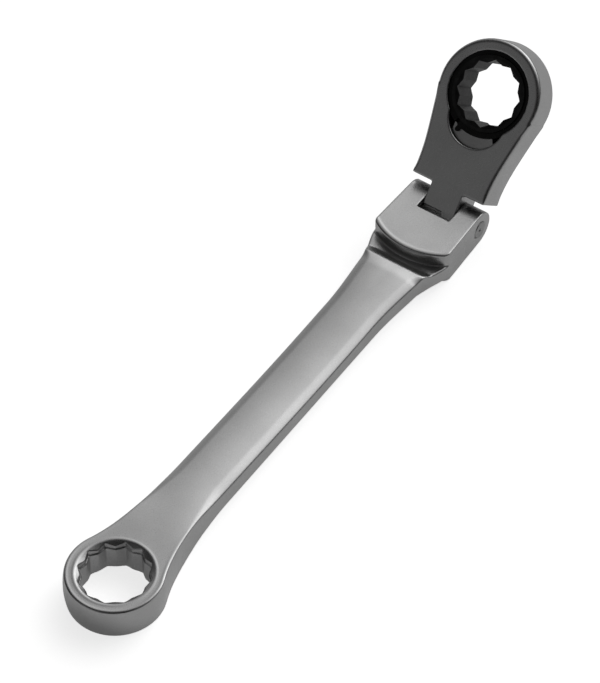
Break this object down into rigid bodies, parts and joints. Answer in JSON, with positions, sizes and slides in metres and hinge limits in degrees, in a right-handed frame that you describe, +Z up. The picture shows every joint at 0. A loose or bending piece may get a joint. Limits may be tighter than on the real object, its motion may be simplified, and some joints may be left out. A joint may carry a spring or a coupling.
{
  "type": "flex-head ratcheting ring wrench",
  "caption": "Double ring wrench with a fixed twelve-point ring at one end and a ratcheting twelve-point ring on a flexing head at the other, slim chrome shank.",
  "frame": {"origin": "on the axis of the fixed ring's socket, on the plane the tool lies on", "axes": "+X runs along the handle from the fixed ring to the flex head, +Z is up out of the marked face, +Y completes a right-handed frame"},
  "size_m": [0.1382, 0.0204, 0.0307],
  "materials": {
    "handle_chrome": "satin chrome plate over forged steel",
    "head_chrome": "satin chrome plate over forged steel",
    "pin_steel": "satin",
    "pawl_steel": "ground",
    "inner_steel": "bright spring and tool steel",
    "black_steel": "black oxide, lightly worn in the socket",
    "ring_black": "black phosphate"
  },
  "bodies": {
    "handle_body": {"handle": "handle_chrome", "hinge_pin": "pin_steel", "detent_spring": "inner_steel"},
    "plunger_body": {"detent_plunger": "inner_steel"},
    "flex_head": {"head_body": "head_chrome", "retaining_ring": "ring_black", "pawl_spring": "inner_steel"},
    "gear_body": {"ratchet_gear": "black_steel"},
    "pawl_body": {"pawl": "pawl_steel"}
  },
  "joints": [
    {"name": "head_flex", "type": "hinge", "parent": "handle_body", "child": "flex_head", "pos_m": [0.103, 0, 0.0039], "axis": [0, -1, 0], "range_deg": [-136, 44]},
    {"name": "gear_spin", "type": "hinge", "parent": "flex_head", "child": "gear_body", "pos_m": [0.11964, 0, 0.02113], "axis": [-0.7193, 0, 0.6947], "continuous": true},
    {"name": "pawl_click", "type": "hinge", "parent": "flex_head", "child": "pawl_body", "pos_m": [0.11628, 0, 0.01765], "axis": [0.7193, 0, -0.6947], "range_deg": [0, 8], "stiffness_Nm_per_rad": 0.004, "springref_deg": -20.05, "deforming": ["pawl_spring"]},
    {"name": "plunger_press", "type": "slide", "parent": "handle_body", "child": "plunger_body", "axis": [-1, 0, 0], "range_m": [0, 0.0004], "stiffness_N_per_m": 1500, "springref_m": -0.001, "deforming": ["detent_spring"]}
  ]
}
